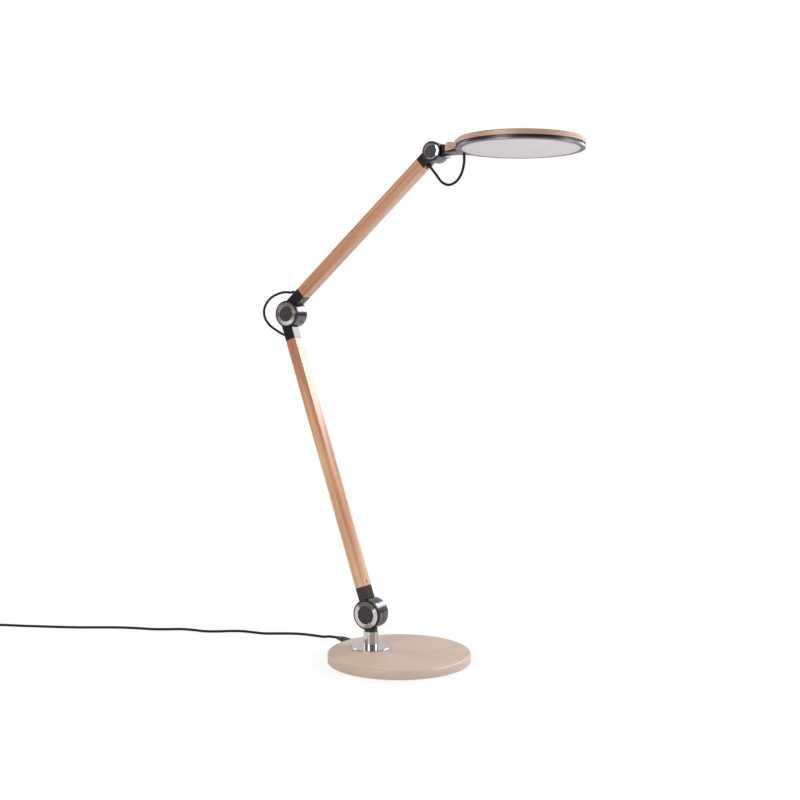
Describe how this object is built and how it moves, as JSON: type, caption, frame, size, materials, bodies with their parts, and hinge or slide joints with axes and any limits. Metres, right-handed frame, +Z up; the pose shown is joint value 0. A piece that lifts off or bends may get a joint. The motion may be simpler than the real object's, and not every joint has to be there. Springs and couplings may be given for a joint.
{
  "type": "desk lamp",
  "caption": "Desk lamp with a weighted round base, swivel post, two folding square wooden arms and a flat round light head.",
  "frame": {"origin": "centre of the round base on the table", "axes": "+X from the post towards the light head in the arms' plane, +Z up, the joints' axes along Y"},
  "size_m": [0.9307, 0.2856, 0.6425],
  "materials": {
    "rose_paint": "satin",
    "rose_shell": "satin anodised",
    "wood": "varnished",
    "black_fitting": "semi-gloss",
    "barrel": "polished dark",
    "bright": "polished",
    "steel": "plain",
    "ballast": "plain",
    "bezel_grey": "satin",
    "diffuser": "opal",
    "guide": "clear",
    "board": "plain",
    "pad": "matte",
    "lead": "matte",
    "dark_plastic": "satin"
  },
  "bodies": {
    "base": {"foot_pad": "pad", "ballast_plate": "ballast", "base_cover": "rose_paint", "base_screws": "steel", "dc_jack": "dark_plastic", "touch_board": "board", "base_lead": "lead", "post_flange": "bright", "post": "bright", "post_nut": "steel", "dc_plug": "dark_plastic", "cord": "lead", "cord_coil": "lead", "coil_tie": "dark_plastic", "adapter": "dark_plastic", "adapter_pins": "bright"},
    "turret": {"swivel_washer": "dark_plastic", "spindle_clip": "steel", "shoulder_knuckle": "black_fitting", "shoulder_rear_shell": "barrel", "shoulder_washer": "steel"},
    "lower_arm": {"shoulder_front_band": "barrel", "shoulder_cap": "black_fitting", "shoulder_ring": "bright", "shoulder_bolt": "steel", "shoulder_nut": "steel", "lower_foot_fitting": "black_fitting", "lower_bar": "wood", "lower_top_fitting": "black_fitting", "lower_bar_pins": "steel", "lower_lead": "lead", "elbow_rear_shell": "barrel", "elbow_washer": "steel"},
    "upper_arm": {"elbow_front_band": "barrel", "elbow_cap": "black_fitting", "elbow_ring": "bright", "elbow_bolt": "steel", "elbow_nut": "steel", "upper_foot_fitting": "black_fitting", "upper_bar": "wood", "upper_top_fitting": "black_fitting", "upper_bar_pins": "steel", "upper_lead": "lead", "head_rear_shell": "barrel", "head_washer": "steel", "elbow_loop": "lead"},
    "head": {"head_front_band": "barrel", "head_cap": "black_fitting", "head_ring": "bright", "head_bolt": "steel", "head_nut": "steel", "head_knuckle": "black_fitting", "head_shell": "rose_shell", "head_bezel": "bezel_grey", "led_board": "board", "light_guide": "guide", "diffuser": "diffuser", "neck_screw": "steel", "head_loop": "lead"}
  },
  "joints": [
    {"name": "base_swivel", "type": "hinge", "parent": "base", "child": "turret", "pos_m": [-0.0415, 0, 0.033], "axis": [0, 0, 1], "range_deg": [-90, 90]},
    {"name": "lower_tilt", "type": "hinge", "parent": "turret", "child": "lower_arm", "pos_m": [-0.0415, 0, 0.0555], "axis": [0, 1, 0], "range_deg": [-35, 45]},
    {"name": "elbow_tilt", "type": "hinge", "parent": "lower_arm", "child": "upper_arm", "pos_m": [-0.16296, 0, 0.43774], "axis": [0, 1, 0], "range_deg": [-65, 60], "deforming": ["elbow_loop"]},
    {"name": "head_tilt", "type": "hinge", "parent": "upper_arm", "child": "head", "pos_m": [0.05112, 0, 0.63046], "axis": [0, 1, 0], "range_deg": [-60, 55], "deforming": ["head_loop"]}
  ]
}
